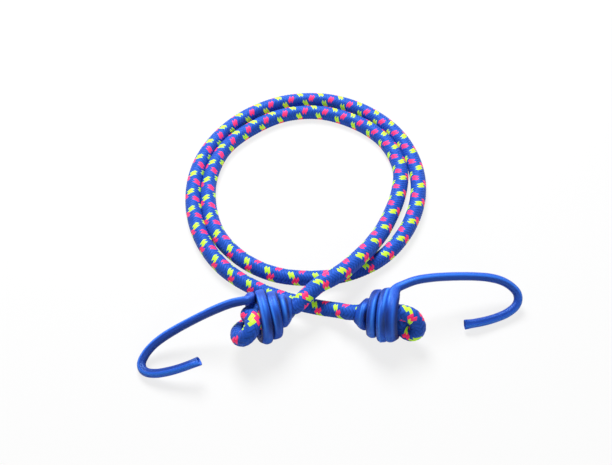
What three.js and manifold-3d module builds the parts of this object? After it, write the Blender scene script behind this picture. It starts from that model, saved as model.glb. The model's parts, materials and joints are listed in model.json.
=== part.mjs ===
import * as THREE from 'three';
import { mergeVertices } from 'three/addons/utils/BufferGeometryUtils.js';
import Module from 'manifold-3d';

// A bungee cord lying on a table in two loops: a braided sheath round rubber threads,
// with a plastic-coated wire hook wound onto each folded-back end. Millimetres, +Z up,
// and the table is the plane z = 0.

// Cord
const cord_diameter = 8;
const cord_sides = 12;
const sheath_bore = 6;
const bore_sides = 6;
const thread_side = 0.9;
const thread_sides = 4;
const thread_gap = 0.34;
const threads_round_centre = 6;
const cord_flat = cord_diameter / 10;
const free_steps = 54;
const fold_steps = 30;

// Folded end of the cord, inside and beyond its winding
const seam_gap = 0.3;
const seam_depth = 1.9;
const side_step_start = 3.5;
const side_step_length = 10;
const strand_gap = 0.32;
const tail_depth = 14.6;

// Hook wire and its plastic sleeve
const wire_diameter = 3.2;
const wire_gap = 0.3;
const sleeve_wall = 0.45;
const sleeve_sides = 6;
const end_recess = 0.5;

// Winding
const winding_turns = 3.3;
const winding_pitch = 4.9;
const steps_per_turn = 24;
const grip_gap = 0.3;
const cone_lead = 0.6;
const leaving_steps = 8;
const leaving_pull_share = 0.4;

// Hook outline, as shares of the hook's length and of the spacing of its two legs
const outline_shares = [
  [0, 0], [0.13, -0.05], [0.27, -0.042], [0.4, -0.005], [0.53, 0.045], [0.655, 0.105],
  [0.77, 0.18], [0.87, 0.285], [0.95, 0.435], [0.995, 0.6], [0.993, 0.74], [0.96, 0.85],
  [0.88, 0.945], [0.79, 0.99], [0.69, 1.012], [0.59, 1.012], [0.49, 1],
];
const outline_steps = 24;

// The two hooks are bent by hand from the same wire and differ a little. Their angles, in
// degrees, are measured about and from the winding's axis.
const hooks = {
  left: {
    hook_length: 58.5,
    leg_spacing: 22,
    leaves_at: 140,
    shank_start_at: 109,
    shank_start_radius: 11.8,
    shank_start_past_winding: 1.2,
    swing: -7.9,
    dip: -20.3,
    roll: -6.3,
    fold_spread_at: 98,
    fold_droops_towards: 28,
    fold_reach: 9,
    fold_droop: 102,
    fold_twist: -24,
    fold_flare: 1.6,
  },
  right: {
    hook_length: 60.5,
    leg_spacing: 25.1,
    leaves_at: 78,
    shank_start_at: 33.5,
    shank_start_radius: 13.3,
    shank_start_past_winding: 2.1,
    swing: 25.3,
    dip: -15.4,
    roll: -137.2,
    fold_spread_at: 114,
    fold_droops_towards: 237,
    fold_reach: 9.3,
    fold_droop: 87,
    fold_twist: -35,
    fold_flare: 0.6,
  },
};

// Route of the cord's free stretch, from the left winding, twice round, to the right one
const route_points = [
  [-22.8, 7.4, 13.2], [-19.1, 8.6, 13.2], [-14.8, 12.5, 14.8], [-8.1, 19.3, 15.2],
  [-1.6, 24.2, 14.3], [4.6, 29.4, 13.2], [10.5, 35.8, 12], [16.3, 43, 10.45],
  [21.8, 52.2, 6.9], [28.4, 64.8, 3.8], [36.8, 86.9, 3.2], [38.7, 105.9, 3.2],
  [30.9, 126.1, 3.2], [15.3, 140.5, 3.2], [-5.6, 148.9, 3.2], [-26.7, 147.1, 3.2],
  [-46.1, 136.1, 3.2], [-60.4, 120.9, 3.2], [-67.2, 102.1, 3.2], [-67.7, 81.7, 3.2],
  [-61.2, 59.3, 3.2], [-47.7, 43.3, 3.2], [-30.7, 33.9, 3.2], [-11.6, 31.3, 3.2],
  [7.1, 33.9, 3.2], [25.8, 44, 3.2], [39.9, 61.5, 3.2], [48.2, 83.9, 3.2],
  [48.3, 107.9, 3.2], [39.1, 132.1, 3.2], [21.9, 149.7, 3.2], [-0.1, 159.1, 3.2],
  [-24.7, 158.5, 3.2], [-46.9, 148.1, 3.2], [-64.2, 130.5, 3.2], [-74.8, 107.5, 3.2],
  [-76.7, 81.9, 3.2], [-70.4, 57.4, 3.2], [-57.7, 38.1, 3.2], [-39.7, 24.9, 3.2],
  [-20.3, 17.1, 3.2], [-7.6, 13, 4.4], [1.9, 9.9, 6.9], [6.8, 7.2, 9.6],
  [12, 6.4, 10.7],
];

// Sizes that follow from those above
const cord_radius = cord_diameter / 2;
const flat_share = Math.cos(Math.PI / sleeve_sides);
const wire_radius = wire_diameter / 2;
const sleeve_inner_radius = wire_radius + wire_gap / flat_share;
const sleeve_radius = sleeve_inner_radius + sleeve_wall;
const sleeve_diameter = 2 * sleeve_radius;
const sleeve_half_width = sleeve_radius * flat_share;
const strand_offset = cord_radius + strand_gap / 2;
const winding_length = winding_turns * winding_pitch + 2 * sleeve_half_width;
const mouth_radius = cord_radius + grip_gap + sleeve_radius;
const thread_spacing = thread_side * Math.SQRT2 + thread_gap;

const radians = THREE.MathUtils.degToRad;

// Eases from 0 to 1 with level ends
function ease(share) {
  const held = THREE.MathUtils.clamp(share, 0, 1);
  return (1 - Math.cos(Math.PI * held)) / 2;
}

// Sideways step of the cord at a depth along the winding, and the cone that clears it
function sideStep(depth) {
  return strand_offset * ease((depth - side_step_start) / side_step_length);
}

function windingRadius(depth) {
  return mouth_radius + sideStep(depth + cone_lead);
}

// Direction at an angle about the winding's axis, which is the local x axis
function around(angle) {
  return new THREE.Vector3(0, Math.cos(angle), Math.sin(angle));
}

// Materials
function plainMaterial(color, roughness, metalness) {
  return new THREE.MeshStandardMaterial({ color, roughness, metalness });
}

const sheath_finish = () => plainMaterial('#2a55c8', 0.75, 0);
const thread_finish = () => plainMaterial('#d9c7a3', 0.6, 0);
const sleeve_finish = () => plainMaterial('#2450c4', 0.3, 0);
const wire_finish = () => plainMaterial('#8d9299', 0.35, 1);

function piece(name, geometry, material) {
  const mesh = new THREE.Mesh(geometry, material);
  mesh.name = name;
  return mesh;
}

// Polygon with a given radius to its corners, as a shape or as a hole
function polygonPoints(radius, sides, centre, turn) {
  const points = [];
  for (let i = 0; i < sides; i += 1) {
    const angle = turn + (2 * Math.PI * i) / sides;
    points.push(new THREE.Vector2(Math.cos(angle), Math.sin(angle)).multiplyScalar(radius).add(centre));
  }
  return points;
}

function sheathSection() {
  const middle = new THREE.Vector2();
  const shape = new THREE.Shape(polygonPoints(cord_radius, cord_sides, middle, 0));
  shape.holes.push(new THREE.Path(polygonPoints(sheath_bore / 2, bore_sides, middle, 0)));
  return shape;
}

// Centres of the square threads: one in the middle and a ring round it
function threadCentres() {
  const centres = [new THREE.Vector2()];
  for (let i = 0; i < threads_round_centre; i += 1) {
    const angle = (2 * Math.PI * i) / threads_round_centre;
    centres.push(new THREE.Vector2(Math.cos(angle), Math.sin(angle)).multiplyScalar(thread_spacing));
  }
  return centres;
}

function threadSection(centre) {
  const corner_radius = thread_side / Math.SQRT2;
  return new THREE.Shape(polygonPoints(corner_radius, thread_sides, centre, Math.PI / thread_sides));
}

// Sheath and threads along one stretch of the cord
function cordPieces(prefix, path, steps) {
  const options = { steps, extrudePath: path, bevelEnabled: false };
  const sheath = new THREE.ExtrudeGeometry(sheathSection(), options);
  const pieces = [piece(`${prefix}_sheath`, sheath, sheath_finish())];
  threadCentres().forEach((centre, i) => {
    const thread = new THREE.ExtrudeGeometry(threadSection(centre), options);
    pieces.push(piece(`${prefix}_rubber_thread_${i + 1}`, thread, thread_finish()));
  });
  return pieces;
}

// Centre line of a folded end in its winding's frame: in at the mouth, aside, out of the
// wide end, round, and back in beside itself. The part outside droops to one side, and its
// strands twist a little round each other.
function foldPath(hook) {
  const spread = around(radians(hook.fold_spread_at));
  const along = new THREE.Vector3(1, 0, 0);
  const droop_side = around(radians(hook.fold_droops_towards));
  const droop_axis = new THREE.Vector3().crossVectors(along, droop_side);
  const droop = radians(hook.fold_droop);
  const fold_reach = hook.fold_reach;
  const fold_flare = hook.fold_flare;
  const points = [];
  const inside = (depth, side) => along.clone().multiplyScalar(depth).addScaledVector(spread, side);

  // Point at a distance past the winding and a distance to the side, turned by the droop and
  // the twist
  const outside = (reach, side) => {
    const angle = droop * Math.min(reach / fold_reach, 1);
    const bend_radius = fold_reach / droop;
    const bent = Math.min(reach, fold_reach);
    const forward = along.clone().applyAxisAngle(droop_axis, angle);
    const sideways = spread.clone().applyAxisAngle(droop_axis, angle)
      .applyAxisAngle(forward, radians(hook.fold_twist) * ease(bent / fold_reach));
    return along.clone().multiplyScalar(winding_length + bend_radius * Math.sin(angle))
      .addScaledVector(droop_side, bend_radius * (1 - Math.cos(angle)))
      .addScaledVector(forward, reach - bent)
      .addScaledVector(sideways, side);
  };

  const side_step_points = 6;
  points.push(inside(seam_depth + seam_gap, 0));
  for (let i = 0; i <= side_step_points; i += 1) {
    const depth = side_step_start + (side_step_length * i) / side_step_points;
    points.push(inside(depth, sideStep(depth)));
  }
  points.push(inside((side_step_start + side_step_length + winding_length) / 2, strand_offset));
  const arm_points = 3;
  const turn_points = 8;
  const turn_radius = strand_offset + fold_flare;
  for (let i = 0; i < arm_points; i += 1) {
    const share = i / arm_points;
    points.push(outside(fold_reach * share, strand_offset + fold_flare * ease(share)));
  }
  for (let i = 0; i <= turn_points; i += 1) {
    const angle = (Math.PI * i) / turn_points;
    points.push(outside(fold_reach + turn_radius * Math.sin(angle), turn_radius * Math.cos(angle)));
  }
  for (let i = arm_points - 1; i >= 0; i -= 1) {
    const share = i / arm_points;
    points.push(outside(fold_reach * share, -strand_offset - fold_flare * ease(share)));
  }
  points.push(inside((tail_depth + winding_length) / 2, -strand_offset));
  points.push(inside(tail_depth, -strand_offset));
  return new THREE.CatmullRomCurve3(points);
}

// Stations along a hook's wire: centre, tangent and the normal that faces the next turn
function hookStations(hook) {
  const along = new THREE.Vector3(1, 0, 0);
  const leaves_at = radians(hook.leaves_at);
  const onWinding = (turns) => {
    const depth = sleeve_half_width + winding_pitch * turns;
    const angle = leaves_at + 2 * Math.PI * (winding_turns - turns);
    return around(angle).multiplyScalar(windingRadius(depth)).addScaledVector(along, depth);
  };
  const tangentAt = (turns) => {
    const small = 1 / (8 * steps_per_turn);
    return onWinding(turns + small).sub(onWinding(turns - small)).normalize();
  };
  const coil_steps = Math.round(winding_turns * steps_per_turn);
  const centres = [];

  // The wire's end runs straight for one sleeve diameter before the first turn
  const straight = tangentAt(0);
  centres.push(onWinding(0).addScaledVector(straight, -sleeve_diameter));
  centres.push(onWinding(0).addScaledVector(straight, -sleeve_radius));
  const first_turn = centres.length;
  for (let i = 0; i <= coil_steps; i += 1) {
    centres.push(onWinding((winding_turns * i) / coil_steps));
  }
  const last_turn = centres.length - 1;

  // The hook's plane: one direction along the shank, one across to the other leg
  const swing = radians(hook.swing);
  const dip = radians(hook.dip);
  const roll = radians(hook.roll);
  const shank = new THREE.Vector3(
    Math.cos(dip) * Math.cos(swing), Math.cos(dip) * Math.sin(swing), Math.sin(dip));
  const level = new THREE.Vector3(-Math.sin(swing), Math.cos(swing), 0);
  const across = level.clone().applyAxisAngle(shank, roll);
  const shank_start = around(radians(hook.shank_start_at)).multiplyScalar(hook.shank_start_radius)
    .addScaledVector(along, winding_length + hook.shank_start_past_winding);
  const outline = outline_shares.map(([along_share, across_share]) => shank_start.clone()
    .addScaledVector(shank, along_share * hook.hook_length)
    .addScaledVector(across, across_share * hook.leg_spacing));
  const outline_curve = new THREE.CatmullRomCurve3(outline);

  const leaving = tangentAt(winding_turns);
  const coil_end = centres[last_turn];
  const pull = coil_end.distanceTo(shank_start) * leaving_pull_share;
  const leaving_curve = new THREE.CubicBezierCurve3(
    coil_end,
    coil_end.clone().addScaledVector(leaving, pull),
    shank_start.clone().addScaledVector(outline_curve.getTangent(0), -pull),
    shank_start);
  centres.push(...leaving_curve.getSpacedPoints(leaving_steps).slice(1));
  centres.push(...outline_curve.getSpacedPoints(outline_steps).slice(1));

  const tangents = centres.map((centre, i) => {
    const before = centres[Math.max(i - 1, 0)];
    const after = centres[Math.min(i + 1, centres.length - 1)];
    return after.clone().sub(before).normalize();
  });
  const normals = [];
  centres.forEach((centre, i) => {
    const carried = i > last_turn ? normals[i - 1] : along;
    const tangent = tangents[Math.max(i, first_turn)];
    normals.push(carried.clone().addScaledVector(tangent, -carried.dot(tangent)).normalize());
  });
  return centres.map((centre, i) => ({ centre, tangent: tangents[i], normal: normals[i] }));
}

// Corners of a sleeve or wire section, with flats facing along the normal
function sectionPoints(station, radius, points_per_side) {
  const other = new THREE.Vector3().crossVectors(station.tangent, station.normal);
  const corners = polygonPoints(radius, sleeve_sides, new THREE.Vector2(), Math.PI / sleeve_sides);
  const points = [];
  corners.forEach((corner, i) => {
    const next = corners[(i + 1) % sleeve_sides];
    for (let k = 0; k < points_per_side; k += 1) {
      const flat = corner.clone().lerp(next, k / points_per_side);
      points.push(station.centre.clone()
        .addScaledVector(station.normal, flat.x).addScaledVector(other, flat.y));
    }
  });
  return points;
}

// Closed tube through the stations, solid or with a bore, joined ring by ring
function tubeGeometry(stations, outer_radius, bore_radius) {
  const positions = [];
  const faces = [];
  const addRings = (radius) => {
    const first = positions.length / 3;
    stations.forEach((station) => {
      sectionPoints(station, radius, 1).forEach((point) => positions.push(point.x, point.y, point.z));
    });
    return first;
  };
  const quad = (a, b, c, d) => faces.push(a, b, c, a, c, d);
  const addWall = (first, outward) => {
    for (let i = 0; i + 1 < stations.length; i += 1) {
      for (let k = 0; k < sleeve_sides; k += 1) {
        const here = first + i * sleeve_sides;
        const next = here + sleeve_sides;
        const other = (k + 1) % sleeve_sides;
        if (outward) {
          quad(here + k, here + other, next + other, next + k);
        } else {
          quad(here + k, next + k, next + other, here + other);
        }
      }
    }
  };
  const last_ring = (stations.length - 1) * sleeve_sides;
  const outer = addRings(outer_radius);
  addWall(outer, true);
  if (bore_radius > 0) {
    const bore = addRings(bore_radius);
    addWall(bore, false);
    for (let k = 0; k < sleeve_sides; k += 1) {
      const other = (k + 1) % sleeve_sides;
      quad(outer + other, outer + k, bore + k, bore + other);
      quad(outer + last_ring + k, outer + last_ring + other,
        bore + last_ring + other, bore + last_ring + k);
    }
  } else {
    for (let k = 1; k + 1 < sleeve_sides; k += 1) {
      faces.push(outer, outer + k + 1, outer + k);
      faces.push(outer + last_ring, outer + last_ring + k, outer + last_ring + k + 1);
    }
  }
  const geometry = new THREE.BufferGeometry();
  geometry.setAttribute('position', new THREE.Float32BufferAttribute(positions, 3));
  geometry.setIndex(faces);
  geometry.computeVertexNormals();
  return geometry;
}

// Least distance between points on the sleeve that lie more than half a turn apart on it
function leastGap(stations) {
  const points_per_side = 4;
  const rings = stations.map((station) => sectionPoints(station, sleeve_radius, points_per_side));
  let least = Infinity;
  for (let i = 0; i < rings.length; i += 1) {
    for (let j = i + steps_per_turn / 2; j < rings.length; j += 1) {
      const apart = stations[i].centre.distanceTo(stations[j].centre);
      if (apart - sleeve_diameter < least) {
        rings[i].forEach((a) => rings[j].forEach((b) => {
          least = Math.min(least, a.distanceTo(b));
        }));
      }
    }
  }
  return least;
}

// Least distance between stretches of the cord that lie more than a few diameters apart on it
function leastCordGap(path) {
  const points_per_step = 4;
  const diameters_apart = 4;
  const centres = path.getSpacedPoints(points_per_step * free_steps);
  const spacing = path.getLength() / (centres.length - 1);
  const skipped = Math.ceil((diameters_apart * cord_diameter) / spacing);
  let least = Infinity;
  centres.forEach((centre, i) => {
    centres.slice(i + skipped).forEach((other) => {
      least = Math.min(least, centre.distanceTo(other) - cord_diameter);
    });
  });
  return least;
}

// Hook with its winding and the folded end of the cord that it holds, in its own frame
function hookPieces(side, hook) {
  const stations = hookStations(hook);
  const shortened = stations.map((station) => ({ ...station, centre: station.centre.clone() }));
  shortened[0].centre.addScaledVector(stations[0].tangent, end_recess);
  shortened.at(-1).centre.addScaledVector(stations.at(-1).tangent, -end_recess);
  console.log(`${side} winding, least gap to itself: ${leastGap(stations).toFixed(2)} mm`);
  const wire = tubeGeometry(shortened, wire_radius, 0);
  const sleeve = tubeGeometry(stations, sleeve_radius, sleeve_inner_radius);
  return [
    piece(`${side}_hook_wire`, wire, wire_finish()),
    piece(`${side}_hook_sleeve`, sleeve, sleeve_finish()),
    ...cordPieces(`${side}_folded_end`, foldPath(hook), fold_steps),
  ];
}

// Puts a hook on an end of the cord: its x axis runs out along the cord, z points up
function placeHook(side, end_point, outward) {
  const up = new THREE.Vector3(0, 0, 1);
  const sideways = new THREE.Vector3().crossVectors(up, outward).normalize();
  const upright = new THREE.Vector3().crossVectors(outward, sideways);
  const group = new THREE.Group();
  group.add(...hookPieces(side, hooks[side]));
  group.quaternion.setFromRotationMatrix(new THREE.Matrix4().makeBasis(outward, sideways, upright));
  group.position.copy(end_point).addScaledVector(outward, -seam_depth);
  return group;
}

// Cuts the sheath flat where the cord lies on the table
async function cutFlat(mesh) {
  const wasm = await Module();
  wasm.setup();
  const solid = (geometry) => {
    const bare = geometry.clone();
    bare.deleteAttribute('normal');
    bare.deleteAttribute('uv');
    const merged = mergeVertices(bare);
    return new wasm.Manifold(new wasm.Mesh({
      numProp: 3,
      vertProperties: new Float32Array(merged.attributes.position.array),
      triVerts: new Uint32Array(merged.index.array),
    }));
  };
  mesh.geometry.computeBoundingBox();
  const size = mesh.geometry.boundingBox.getSize(new THREE.Vector3());
  const middle = mesh.geometry.boundingBox.getCenter(new THREE.Vector3());
  const below = new THREE.BoxGeometry(2 * size.x, 2 * size.y, cord_diameter);
  below.translate(middle.x, middle.y, -cord_diameter / 2);
  const cut = solid(mesh.geometry).subtract(solid(below)).getMesh();
  const geometry = new THREE.BufferGeometry();
  geometry.setAttribute('position', new THREE.Float32BufferAttribute(cut.vertProperties, 3));
  geometry.setIndex(Array.from(cut.triVerts));
  geometry.computeVertexNormals();
  mesh.geometry = geometry;
}

// The whole bungee cord
const bungee_cord = new THREE.Group();
const route = new THREE.CatmullRomCurve3(route_points.map((point) => new THREE.Vector3(...point)));
const free_pieces = cordPieces('cord', route, free_steps);
await cutFlat(free_pieces[0]);
bungee_cord.add(...free_pieces);
bungee_cord.add(placeHook('left', route.getPoint(0), route.getTangent(0).negate()));
bungee_cord.add(placeHook('right', route.getPoint(1), route.getTangent(1)));
console.log(`free cord ${route.getLength().toFixed(0)} mm`);
console.log(`cord, least gap to itself: ${leastCordGap(route).toFixed(2)} mm`);
for (const side of ['left', 'right']) {
  console.log(`${side} folded end ${foldPath(hooks[side]).getLength().toFixed(0)} mm`);
}

export default bungee_cord;
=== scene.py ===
"""Bungee cord: an elastic cord in a braided sheath, lying in two loops, with a coated wire
hook wound onto each folded-back end."""

import json
import math

import bpy
import numpy as np
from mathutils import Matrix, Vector


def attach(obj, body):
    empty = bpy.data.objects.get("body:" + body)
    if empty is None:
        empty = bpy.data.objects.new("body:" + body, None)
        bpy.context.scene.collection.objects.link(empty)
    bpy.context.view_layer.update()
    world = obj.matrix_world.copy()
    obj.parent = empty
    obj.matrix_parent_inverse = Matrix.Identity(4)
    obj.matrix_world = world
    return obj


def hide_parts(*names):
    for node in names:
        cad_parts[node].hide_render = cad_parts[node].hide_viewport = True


bl_info = {
    "name": "Bungee Cord",
    "version": (1, 0, 0),
    "blender": (4, 5, 0),
    "location": "3D View > Sidebar > Bungee Cord",
    "description": "Builds a braided elastic cord with two coated wire hooks",
    "category": "Add Mesh",
}

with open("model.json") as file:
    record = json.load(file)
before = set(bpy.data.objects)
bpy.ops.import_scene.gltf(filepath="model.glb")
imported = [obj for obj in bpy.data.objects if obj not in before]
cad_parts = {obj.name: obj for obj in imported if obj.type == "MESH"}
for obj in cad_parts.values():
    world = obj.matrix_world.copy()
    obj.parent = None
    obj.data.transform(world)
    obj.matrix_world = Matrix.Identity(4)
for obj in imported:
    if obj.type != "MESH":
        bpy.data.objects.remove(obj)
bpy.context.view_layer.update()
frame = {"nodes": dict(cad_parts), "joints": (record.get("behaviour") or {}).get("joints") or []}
MM = 0.001
UP = np.array([0.0, 0.0, 1.0])
ALONG = np.array([1.0, 0.0, 0.0])

# Route of the free cord's centre line in metres, from the left winding to the right one
ROUTE = [
    (-0.0228, 0.0074, 0.0132), (-0.0191, 0.0086, 0.0132), (-0.0148, 0.0125, 0.0148),
    (-0.0081, 0.0193, 0.0152), (-0.0016, 0.0242, 0.0143), (0.0046, 0.0294, 0.0132),
    (0.0105, 0.0358, 0.012), (0.0163, 0.043, 0.01045), (0.0218, 0.0522, 0.0069),
    (0.0284, 0.0648, 0.0038), (0.0368, 0.0869, 0.0032), (0.0387, 0.1059, 0.0032),
    (0.0309, 0.1261, 0.0032), (0.0153, 0.1405, 0.0032), (-0.0056, 0.1489, 0.0032),
    (-0.0267, 0.1471, 0.0032), (-0.0461, 0.1361, 0.0032), (-0.0604, 0.1209, 0.0032),
    (-0.0672, 0.1021, 0.0032), (-0.0677, 0.0817, 0.0032), (-0.0612, 0.0593, 0.0032),
    (-0.0477, 0.0433, 0.0032), (-0.0307, 0.0339, 0.0032), (-0.0116, 0.0313, 0.0032),
    (0.0071, 0.0339, 0.0032), (0.0258, 0.044, 0.0032), (0.0399, 0.0615, 0.0032),
    (0.0482, 0.0839, 0.0032), (0.0483, 0.1079, 0.0032), (0.0391, 0.1321, 0.0032),
    (0.0219, 0.1497, 0.0032), (-0.0001, 0.1591, 0.0032), (-0.0247, 0.1585, 0.0032),
    (-0.0469, 0.1481, 0.0032), (-0.0642, 0.1305, 0.0032), (-0.0748, 0.1075, 0.0032),
    (-0.0767, 0.0819, 0.0032), (-0.0704, 0.0574, 0.0032), (-0.0577, 0.0381, 0.0032),
    (-0.0397, 0.0249, 0.0032), (-0.0203, 0.0171, 0.0032), (-0.0076, 0.013, 0.0044),
    (0.0019, 0.0099, 0.0069), (0.0068, 0.0072, 0.0096), (0.012, 0.0064, 0.0107),
]

# Hook outline, as shares of the hook's length and of the spacing of its two legs
OUTLINE_SHARES = [
    (0, 0), (0.13, -0.05), (0.27, -0.042), (0.4, -0.005), (0.53, 0.045), (0.655, 0.105),
    (0.77, 0.18), (0.87, 0.285), (0.95, 0.435), (0.995, 0.6), (0.993, 0.74), (0.96, 0.85),
    (0.88, 0.945), (0.79, 0.99), (0.69, 1.012), (0.59, 1.012), (0.49, 1),
]

# The two hooks are bent by hand from the same wire. Angles are in degrees about and from the
# winding's axis. A fold of the squashed sleeve has its first and last turn, its place there
# across the band, from -1 at the mouth's side to 1, its width in half band widths, and its
# height in crease depths, which is below zero for a crease.
# A fold's height also sets the painted highlight on it, or the painted shade in its crease.
HOOK_SHAPES = {
    "left": {
        "hook_length": 58.5 * MM,
        "leg_spacing": 22 * MM,
        "leaves_at": 140,
        "shank_start_at": 109,
        "shank_start_radius": 11.8 * MM,
        "shank_start_past_winding": 1.2 * MM,
        "swing": -7.9,
        "dip": -20.3,
        "roll": -6.3,
        "fold_spread_at": 98,
        "fold_droops_towards": 28,
        "fold_reach": 9 * MM,
        "fold_droop": 102,
        "fold_twist": -24,
        "fold_flare": 1.6 * MM,
        "tip_slant": 0.35,
        "tip_pinch": 0.35,
        "painted_shade_tone": 0.6,
        "sags_towards": -36,
        "sags": [0, 0.3 * MM, 0.9 * MM],
        "shifts": [0, 0, 0, 0],
        "crease_seed": 3,
        "folds": [
            (2.36, 2.6, 0.78, 0.55, 0.2, 1.2), (2.4, 2.5, 0.0, -0.1, 0.3, 1.0),
            (2.5, 2.62, -0.45, -0.4, 0.4, -1.0), (2.31, 2.37, 0.1, 0.1, 0.9, -0.7),
            (2.28, 2.32, 0, 0, 0.9, 0.8), (2.56, 2.7, -0.95, -0.95, 0.22, -1.8),
            (2.3, 2.5, -0.95, -0.95, 0.14, -1), (2.6, 2.78, 0.2, 0, 0.8, 0.3),
            (1.4, 1.62, 0.85, 0.55, 0.22, 1.3), (1.42, 1.5, -0.15, -0.2, 0.3, 0.9),
            (1.5, 1.6, -0.2, -0.2, 0.35, -0.8), (1.32, 1.38, 0.1, 0.1, 0.9, -0.6),
            (1.36, 1.55, -0.95, -0.95, 0.2, -1.5), (1.57, 1.7, 0.98, 0.95, 0.2, -1.6),
            (1.28, 1.32, 0, 0, 0.9, 0.7), (0.4, 0.6, 0.25, 0.15, 0.34, 1.1),
            (0.3, 0.34, 0, 0, 0.9, 0.9), (0.36, 0.62, -0.35, -0.4, 0.16, -1.2),
            (0.36, 0.6, 0.9, 0.85, 0.2, -1.4), (0.5, 0.75, -0.7, -0.7, 0.2, 0.5),
        ],
        "mouth_lip": 1.5 * MM,
        "end_lip": 0.7 * MM,
        "spread_from": -0.35 * MM,
        "spread_to": 0.6 * MM,
        "start_tip": 0,
        "fold_turn": 0.13,
        "fold_turns_per_length": -8.6,
        "fold_lead": 16.6 * MM,
        "fold_lead_start": 0.62,
    },
    "right": {
        "hook_length": 60.5 * MM,
        "leg_spacing": 25.1 * MM,
        "leaves_at": 78,
        "shank_start_at": 33.5,
        "shank_start_radius": 13.3 * MM,
        "shank_start_past_winding": 2.1 * MM,
        "swing": 25.3,
        "dip": -15.4,
        "roll": -137.2,
        "fold_spread_at": 114,
        "fold_droops_towards": 237,
        "fold_reach": 9.3 * MM,
        "fold_droop": 87,
        "fold_twist": -35,
        "fold_flare": 0.6 * MM,
        "tip_slant": 0.0,
        "tip_pinch": 0.5,
        "painted_shade_tone": 0.33,
        "sags_towards": 216,
        "sags": [0.4 * MM, 1.6 * MM, 0.8 * MM],
        "shifts": [1.4 * MM, 2 * MM, 1.9 * MM, 0.6 * MM],
        "crease_seed": 5,
        "folds": [
            (0.22, 0.3, 0.3, 0.35, 0.4, 0.9), (0.12, 0.3, -0.15, -0.1, 0.16, 1.0),
            (0.1, 0.22, 0.85, 0.85, 0.3, -1.6), (0.3, 0.4, 0.1, 0.1, 0.9, -0.7),
            (0, 0.14, -0.3, -0.2, 0.4, 0.4), (1.1, 1.3, 0.15, 0.3, 0.28, 1.2),
            (0.93, 1.4, 0.98, 0.98, 0.24, -1.9), (1.3, 1.4, -0.2, -0.1, 0.6, -0.8),
            (0.93, 1.1, -0.2, 0.0, 0.6, 0.5), (1.1, 1.3, -0.55, -0.5, 0.25, -0.6),
            (2.19, 2.37, 0.3, 0.4, 0.3, 1.3), (1.93, 2.21, -0.3, -0.3, 0.18, 1.1),
            (2.06, 2.22, 0.55, 0.5, 0.5, -0.9), (2.25, 2.42, 0.95, 0.95, 0.2, -1.6),
            (2.25, 2.4, -0.4, -0.35, 0.35, -0.6), (1.91, 2.02, 0.3, 0.3, 0.6, 0.5),
            (3.06, 3.23, -0.5, -0.4, 0.55, -0.9), (3.22, 3.3, -0.35, -0.3, 0.3, 1.1),
            (3.0, 3.25, 0.45, 0.5, 0.16, 0.5), (2.95, 3.3, 0.9, 0.9, 0.2, -1.3),
            (2.92, 3.03, -0.3, -0.3, 0.6, 0.5),
        ],
        "mouth_lip": 1.2 * MM,
        "end_lip": 1.0 * MM,
        "spread_from": 0.0,
        "spread_to": 0.6 * MM,
        "start_tip": 2.5 * MM,
        "fold_turn": 0.3,
        "fold_turns_per_length": 8.6,
        "fold_lead": 14.5 * MM,
        "fold_lead_start": 0.92,
    },
}


class CordSettings(bpy.types.PropertyGroup):
    """Sizes and colours of the braided cord"""

    diameter: bpy.props.FloatProperty(
        name="Diameter", description="Thickness of the cord over its sheath",
        default=8 * MM, min=4 * MM, max=14 * MM, unit="LENGTH", precision=4)
    sheath_bore: bpy.props.FloatProperty(
        name="Sheath Bore", description="Inner diameter of the sheath",
        default=6.4 * MM, min=2 * MM, max=12 * MM, unit="LENGTH", precision=4)
    braid_lead: bpy.props.FloatProperty(
        name="Braid Lead", description="Length in which a yarn goes once round, near the hooks",
        default=11.6 * MM, min=4 * MM, max=40 * MM, unit="LENGTH", precision=4)
    braid_relief: bpy.props.FloatProperty(
        name="Braid Relief", description="Height of the yarns over the furrows between them",
        default=0.26 * MM, min=0, max=1 * MM, unit="LENGTH", precision=5)
    swelling: bpy.props.FloatProperty(
        name="Swelling", description="Share by which the cord is thicker where it is slack",
        default=0.1, min=0, max=0.2, subtype="FACTOR")
    yarn_colour: bpy.props.StringProperty(
        name="Yarn", description="Colour of the plain yarns, as sRGB hex", default="#1f4eb5")
    yellow_colour: bpy.props.StringProperty(
        name="Yellow Tracer", description="Colour of the yellow tracer yarns, as sRGB hex",
        default="#c8f434")
    pink_colour: bpy.props.StringProperty(
        name="Pink Tracer", description="Colour of the pink tracer yarns, as sRGB hex",
        default="#f83c78")


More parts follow.
